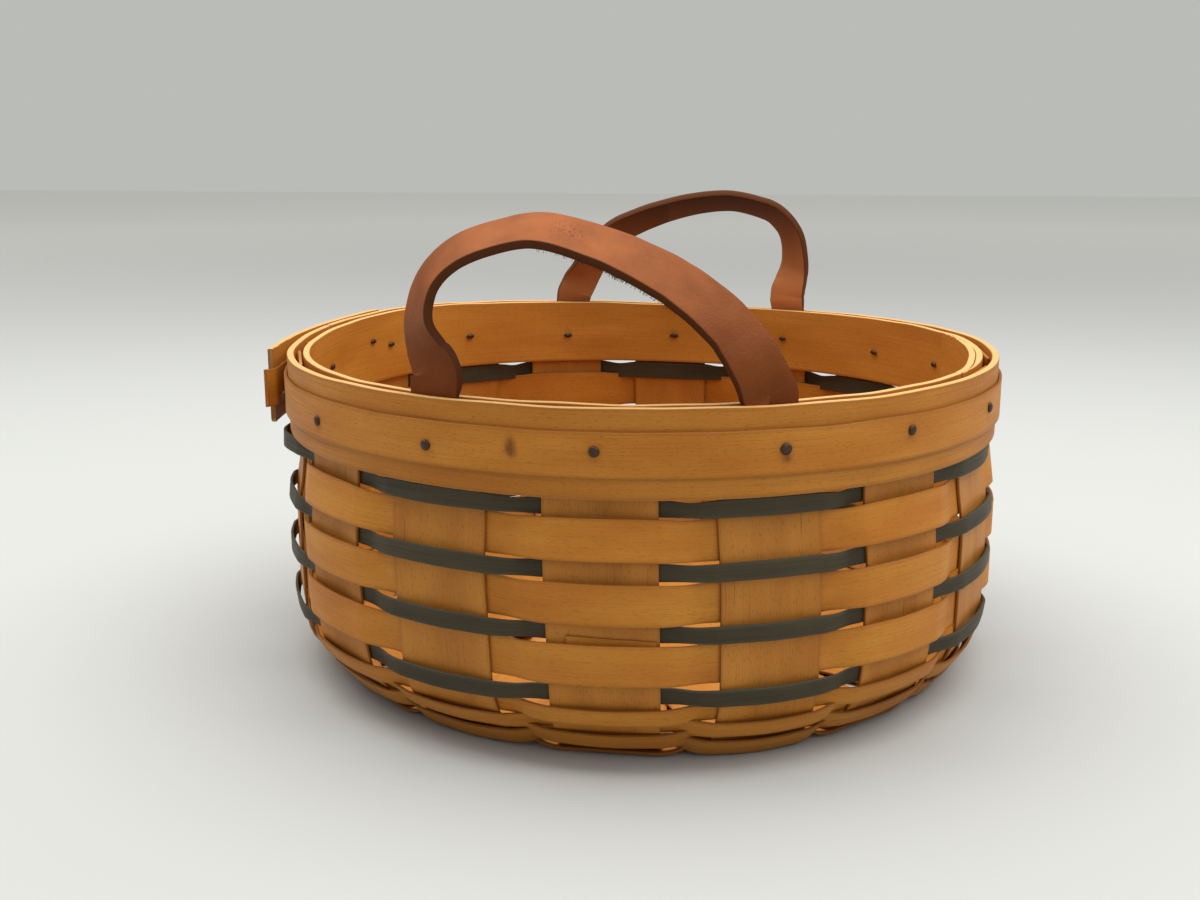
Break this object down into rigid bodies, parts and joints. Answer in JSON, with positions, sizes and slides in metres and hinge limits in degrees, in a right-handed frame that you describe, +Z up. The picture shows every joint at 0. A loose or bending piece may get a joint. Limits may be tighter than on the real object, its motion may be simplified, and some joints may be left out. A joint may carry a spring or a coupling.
{
  "type": "round splint basket",
  "caption": "Round woven splint basket with a hooped rim, narrow green weavers and two leather strap handles that fold in and out.",
  "frame": {"origin": "on the basket's axis, at the level of the surface it stands on", "axes": "+Z up through the mouth, -Y towards the front handle, +X to the right seen from the front"},
  "size_m": [0.2477, 0.2448, 0.155],
  "materials": {
    "maple_splint": "clear oiled thin splint with long grain",
    "green_stained_splint": "dark grey-green stain, worn at the edges",
    "bent_hoop_wood": "clear oiled bent wood strip",
    "tack_steel": "dull blued steel",
    "strap_leather": "vegetable-tanned strap, waxed, darker edges"
  },
  "bodies": {
    "basket": {"upright_splint_1": "maple_splint", "upright_splint_2": "maple_splint", "upright_splint_3": "maple_splint", "upright_splint_4": "maple_splint", "upright_splint_5": "maple_splint", "upright_splint_6": "maple_splint", "upright_splint_7": "maple_splint", "upright_splint_8": "maple_splint", "green_weaver_1": "green_stained_splint", "green_weaver_2": "green_stained_splint", "green_weaver_3": "green_stained_splint", "green_weaver_4": "green_stained_splint", "natural_weaver_1": "maple_splint", "natural_weaver_2": "maple_splint", "natural_weaver_3": "maple_splint", "base_weaver_1": "maple_splint", "base_weaver_2": "maple_splint", "base_weaver_3": "maple_splint", "base_weaver_4": "maple_splint", "base_weaver_5": "maple_splint", "outer_hoop": "bent_hoop_wood", "hoop_splice": "bent_hoop_wood", "inner_hoop": "bent_hoop_wood", "tack_band": "bent_hoop_wood", "rim_tacks": "tack_steel", "front_handle_ends": "strap_leather", "rear_handle_ends": "strap_leather"},
    "front_handle": {"front_handle_strap": "strap_leather"},
    "rear_handle": {"rear_handle_strap": "strap_leather"}
  },
  "joints": [
    {"name": "front_handle_swing", "type": "hinge", "parent": "basket", "child": "front_handle", "pos_m": [0, -0.10756, 0.1112], "axis": [1, 0, 0], "range_deg": [-25, 40], "stiffness_Nm_per_rad": 0.02},
    {"name": "rear_handle_swing", "type": "hinge", "parent": "basket", "child": "rear_handle", "pos_m": [0, 0.10756, 0.1112], "axis": [-1, 0, 0], "range_deg": [-25, 40], "stiffness_Nm_per_rad": 0.02}
  ]
}
